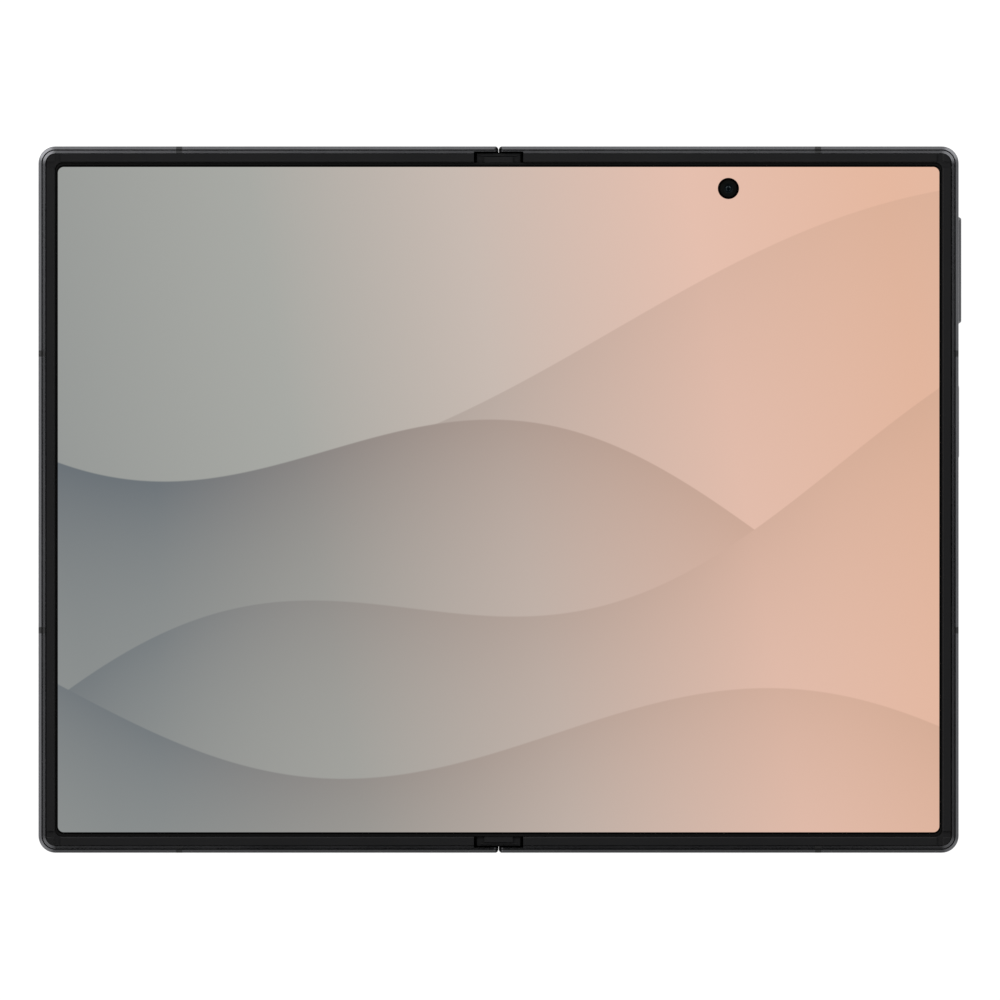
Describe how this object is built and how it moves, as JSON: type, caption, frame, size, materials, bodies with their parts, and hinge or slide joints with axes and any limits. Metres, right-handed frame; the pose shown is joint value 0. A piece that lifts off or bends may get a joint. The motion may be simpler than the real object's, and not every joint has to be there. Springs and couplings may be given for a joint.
{
  "type": "foldable smartphone",
  "caption": "Book-style folding phone: two slim halves on a geared twin-axis hinge, one folding display inside, a cover display outside, a raised camera deck.",
  "frame": {"origin": "middle of the open phone on the fold line, at the height of the ground that the lens rings rest on", "axes": "+X across the fold towards the half with the keys, +Y along the fold towards the top edge, +Z out of the open display"},
  "size_m": [0.162, 0.1238, 0.0065],
  "materials": {
    "frame_metal": "dark anodised, fine bead blast",
    "key_metal": "dark anodised, brushed",
    "band_plastic": "matt",
    "bezel_plastic": "matt soft touch",
    "display": "lit display under a gloss film",
    "back_glass": "satin etched glass",
    "cover_glass": "polished glass over a dark display",
    "lens_glass": "polished, coated",
    "flash_window": "ribbed clear window",
    "ring_metal": "turned, satin",
    "hinge_steel": "sintered steel",
    "hinge_dark": "blackened steel",
    "gear_bronze": "sintered bronze",
    "board": "solder mask",
    "shield": "pressed sheet",
    "cell": "pouch film",
    "coil_copper": "wound copper",
    "polyimide": "amber film",
    "module_plastic": "moulded"
  },
  "bodies": {
    "right_half": {"right_frame": "frame_metal", "right_antenna_bands": "band_plastic", "right_bezel": "bezel_plastic", "display_right": "display", "back_glass": "back_glass", "camera_deck": "back_glass", "camera_ring_1": "ring_metal", "camera_ring_2": "ring_metal", "camera_ring_3": "ring_metal", "camera_lens_1": "lens_glass", "camera_lens_2": "lens_glass", "camera_lens_3": "lens_glass", "camera_module_1": "module_plastic", "camera_module_2": "module_plastic", "camera_module_3": "module_plastic", "flash_window": "flash_window", "inner_camera": "module_plastic", "main_board": "board", "shield_can": "shield", "battery_right": "cell", "port_board": "board", "port_shell": "shield", "port_tongue": "module_plastic", "speaker_right": "module_plastic", "vibration_motor": "shield", "charging_coil": "coil_copper", "key_flex": "polyimide", "screws_right": "hinge_steel", "right_arms": "hinge_steel", "right_gear_shafts": "hinge_steel", "right_disc_springs": "hinge_dark"},
    "rocker": {"volume_rocker": "key_metal"},
    "power": {"power_key": "key_metal"},
    "wing_plate_right": {"wing_right": "hinge_steel"},
    "spine": {"spine_cover": "hinge_dark", "display_fold": "display", "bearing_block_top": "hinge_dark", "bearing_block_bottom": "hinge_dark", "end_plate_top": "hinge_dark", "end_plate_bottom": "hinge_dark"},
    "idlers_right": {"idler_right": "gear_bronze"},
    "idlers_left": {"idler_left": "gear_bronze"},
    "left_half": {"left_frame": "frame_metal", "left_antenna_bands": "band_plastic", "left_bezel": "bezel_plastic", "display_left": "display", "cover_glass": "cover_glass", "cover_display": "cover_glass", "cover_camera": "module_plastic", "battery_left": "cell", "left_board": "board", "speaker_left": "module_plastic", "card_reader": "shield", "left_arms": "hinge_steel", "left_gear_shafts": "hinge_steel", "left_disc_springs": "hinge_dark", "screws_left": "hinge_steel"},
    "wing_plate_left": {"wing_left": "hinge_steel"},
    "tray": {"card_tray": "key_metal"}
  },
  "joints": [
    {"name": "fold_right", "type": "hinge", "parent": "right_half", "child": "spine", "pos_m": [0.00175, 0, 0.00478], "axis": [0, 1, 0], "range_deg": [0, 90], "deforming": ["display_fold"]},
    {"name": "fold_left", "type": "hinge", "parent": "spine", "child": "left_half", "pos_m": [-0.00175, 0, 0.00478], "axis": [0, 1, 0], "range_deg": [0, 90]},
    {"name": "idler_right_spin", "type": "hinge", "parent": "spine", "child": "idlers_right", "pos_m": [0.00075, 0, 0.00366], "axis": [0, 1, 0], "range_deg": [0, 90]},
    {"name": "idler_left_spin", "type": "hinge", "parent": "spine", "child": "idlers_left", "pos_m": [-0.00075, 0, 0.00366], "axis": [0, 1, 0], "range_deg": [-90, 0]},
    {"name": "wing_right_tilt", "type": "hinge", "parent": "right_half", "child": "wing_plate_right", "pos_m": [0.00508, 0, 0.00545], "axis": [0, -1, 0], "range_deg": [0, 12]},
    {"name": "wing_left_tilt", "type": "hinge", "parent": "left_half", "child": "wing_plate_left", "pos_m": [-0.00508, 0, 0.00545], "axis": [0, 1, 0], "range_deg": [0, 12]},
    {"name": "rocker_tilt", "type": "hinge", "parent": "right_half", "child": "rocker", "pos_m": [0.07876, 0.0403, 0.00395], "axis": [0, 0, 1], "range_deg": [-1.2, 1.2], "stiffness_Nm_per_rad": 0.8},
    {"name": "power_press", "type": "slide", "parent": "right_half", "child": "power", "axis": [-1, 0, 0], "range_m": [0, 0.0002], "stiffness_N_per_m": 1500},
    {"name": "tray_slide", "type": "slide", "parent": "left_half", "child": "tray", "axis": [0, -1, 0], "range_m": [0, 0.018]}
  ],
  "couplings": [
    {"joint": "fold_left", "follows": "fold_right", "ratio": 1},
    {"joint": "idler_right_spin", "follows": "fold_right", "ratio": 1},
    {"joint": "idler_left_spin", "follows": "fold_right", "ratio": -1},
    {"joint": "wing_right_tilt", "follows": "fold_right", "ratio": 0.13333},
    {"joint": "wing_left_tilt", "follows": "fold_right", "ratio": 0.13333}
  ]
}
